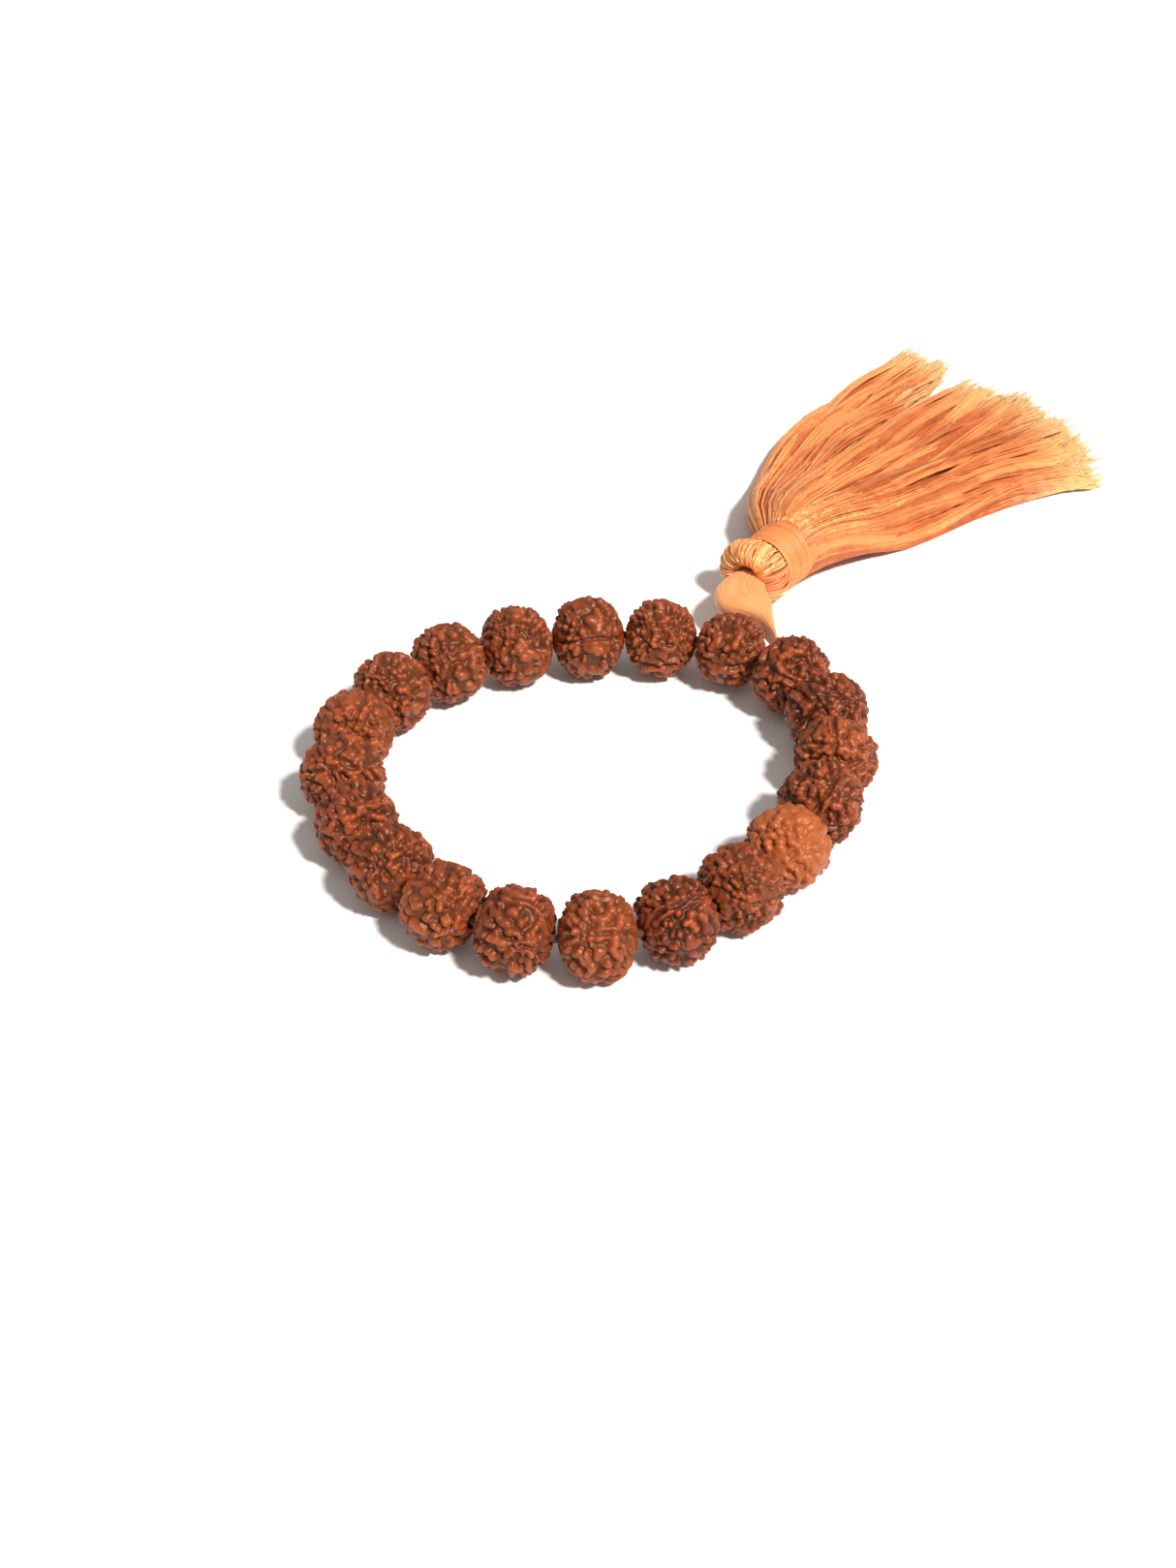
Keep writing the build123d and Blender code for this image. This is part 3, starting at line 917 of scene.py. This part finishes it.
def skirt_paths(side, height, begin, end, sway, rows, rng):
    """Paths of threads through the skirt, each with its own slow sway that grows from the neck."""
    count = len(side)
    share = begin[:, None] + (end - begin)[:, None] * np.linspace(0, 1, rows)
    across, up = skirt_place(share, side[:, None], height[:, None])
    grow = np.clip(share, 0, 1) ** 0.8
    beat = rng.uniform(0.8, 2.3, (count, 1)) * 2 * pi
    side_wave = np.sin(beat * share + rng.uniform(0, 2 * pi, (count, 1)))
    rise_wave = np.sin(beat * share * 1.3 + rng.uniform(0, 2 * pi, (count, 1)))
    across = across + sway[:, None] * grow * side_wave
    up = up + 0.35 * sway[:, None] * grow * rise_wave
    lifted = np.maximum(up, lowest_path) - pinch[2] / mm
    return tassel_point(neck_end + skirt_length * share, across, lifted), share


def lay_skirt(name, paths, girth, sides, tone, glow_share, material):
    """One piece of skirt threads, its transform baked into the mesh."""
    threads = make_piece(
        name,
        tube_strips(paths, girth, sides, tassel_up),
        material,
        values={"tone": tone[..., None], "glow_share": glow_share[..., None]},
        thread_length=path_length(paths),
    )
    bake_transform(threads)
    return threads


rng = np.random.default_rng(5)
lock_count, lock_threads = 92, 15
lock_side = np.linspace(-0.97, 0.97, lock_count) + rng.normal(size=lock_count) * 0.02
on_top = rng.random(lock_count) < 0.72
lock_height = np.where(
    on_top, rng.uniform(0.72, 1.0, lock_count), rng.uniform(0.0, 0.7, lock_count)
)
lock_tone = rng.uniform(-0.05, 0.8, lock_count) + 0.35 * np.clip(lock_side, 0, 1)
lock_cut = rng.normal(size=lock_count) * 0.018
lock_sway = rng.uniform(0.3, 1.15, lock_count)
lock_dive = rng.uniform(0, 2 * pi, lock_count)
thread_rows = 14
for layer, spread in enumerate((0.017, 0.05)):
    owner = np.repeat(np.arange(lock_count), lock_threads)
    count = len(owner)
    side = np.clip(lock_side[owner] + rng.normal(size=count) * spread, -1, 1)
    height = np.clip(lock_height[owner] * (1 - 0.5 * layer) + rng.normal(size=count) * 0.08, 0, 1)
    end = skirt_end(side) + lock_cut[owner] + rng.normal(size=count) * 0.019
    shared = np.random.default_rng(40 + layer)
    beat = shared.uniform(0.8, 1.9, lock_count)[owner, None] * 2 * pi
    phase = shared.uniform(0, 2 * pi, lock_count)[owner, None]
    begin, sway = np.full(count, -0.03), rng.uniform(0.05, 0.22, count)
    paths, share = skirt_paths(side, height, begin, end, sway, thread_rows, rng)
    drift = lock_sway[owner, None] * np.clip(share, 0, 1) * np.sin(beat * share + phase)
    dive = 0.75 * np.sin(share * 9 + lock_dive[owner, None]) * np.clip(share * 3, 0, 1)
    paths = paths + drift[..., None] * tassel_left * mm + dive[..., None] * tassel_up * mm
    paths[..., 2] = np.maximum(paths[..., 2], lowest_path * mm)
    girth = np.full(paths.shape[:2], 1.0) * rng.uniform(0.15, 0.215, (count, 1)) * mm
    girth[:, -1] *= 0.5
    # The lower layer lies under the top threads and is darker: painted shade beneath them.
    tone = lock_tone[owner, None] * (1 - 0.75 * layer) + rng.normal(size=(count, 1)) * 0.16
    tone = np.clip(tone - 0.15 * layer, -0.3, 1) + 0 * share
    # Painted light: towards their cut ends the threads turn to the pale colour, as if lit through.
    glow_share = np.clip((share - end[:, None] + 0.16) / 0.16, 0, 1) ** 2 * 0.85
    name = f"skirt_threads_{layer + 1}"
    threads = lay_skirt(name, paths, girth, 5, tone, glow_share, orange_silk)
    if layer == 0:
        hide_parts("tassel_skirt")
        top_paths = paths

wisp_count, wisp_rows = 1300, 6
wisp_thick = 0.045 * mm
picked = rng.integers(0, len(top_paths), wisp_count)
root = top_paths[picked, -2]
aim_out = unit(top_paths[picked, -1] - top_paths[picked, -3])
splay = rng.normal(size=(wisp_count, 3)) * np.array([0.24, 0.24, 0.10])
wisp_share = np.linspace(0, 1, wisp_rows)[None, :, None]
wisp_long = rng.uniform(1.5, 6.5, (wisp_count, 1, 1)) * mm
wisp_path = root[:, None] + aim_out[:, None] * wisp_long * wisp_share
wisp_path = wisp_path + splay[:, None] * wisp_long * wisp_share**2
wisp_path[..., 2] = np.maximum(wisp_path[..., 2], 0.1 * mm)
wisp_girth = wisp_thick * (1.1 - wisp_share[..., 0]) * np.ones((wisp_count, 1))
# The frayed filaments are wholly in the pale colour: painted light shining through them.
wisp_tone, wisp_glow = np.full((wisp_count, wisp_rows), 0.9), np.ones((wisp_count, wisp_rows))
lay_skirt("frayed_ends", wisp_path, wisp_girth, 3, wisp_tone, wisp_glow, orange_silk)

gold_count, gold_rows = 46, 22
gold_thick = 0.075 * mm
gold_side = np.clip(rng.normal(size=gold_count) * 0.42 - 0.02, -0.9, 0.9)
gold_end = rng.uniform(0.10, 0.30, gold_count)
gold_end[::3] = rng.uniform(0.3, 0.75, len(gold_end[::3]))
gold_height = rng.uniform(0.99, 1.05, gold_count)
gold_begin, gold_sway = np.full(gold_count, -0.02), rng.uniform(0.1, 0.5, gold_count)
gold_paths, gold_share = skirt_paths(
    gold_side, gold_height, gold_begin, gold_end, gold_sway, gold_rows, rng
)
gold_girth = np.full(gold_paths.shape[:2], gold_thick)
gold_skirt = lay_skirt(
    "gold_skirt_threads",
    gold_paths,
    gold_girth,
    5,
    np.ones_like(gold_share),
    np.zeros_like(gold_share),
    gold_film,
)
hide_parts("gold_threads_skirt")
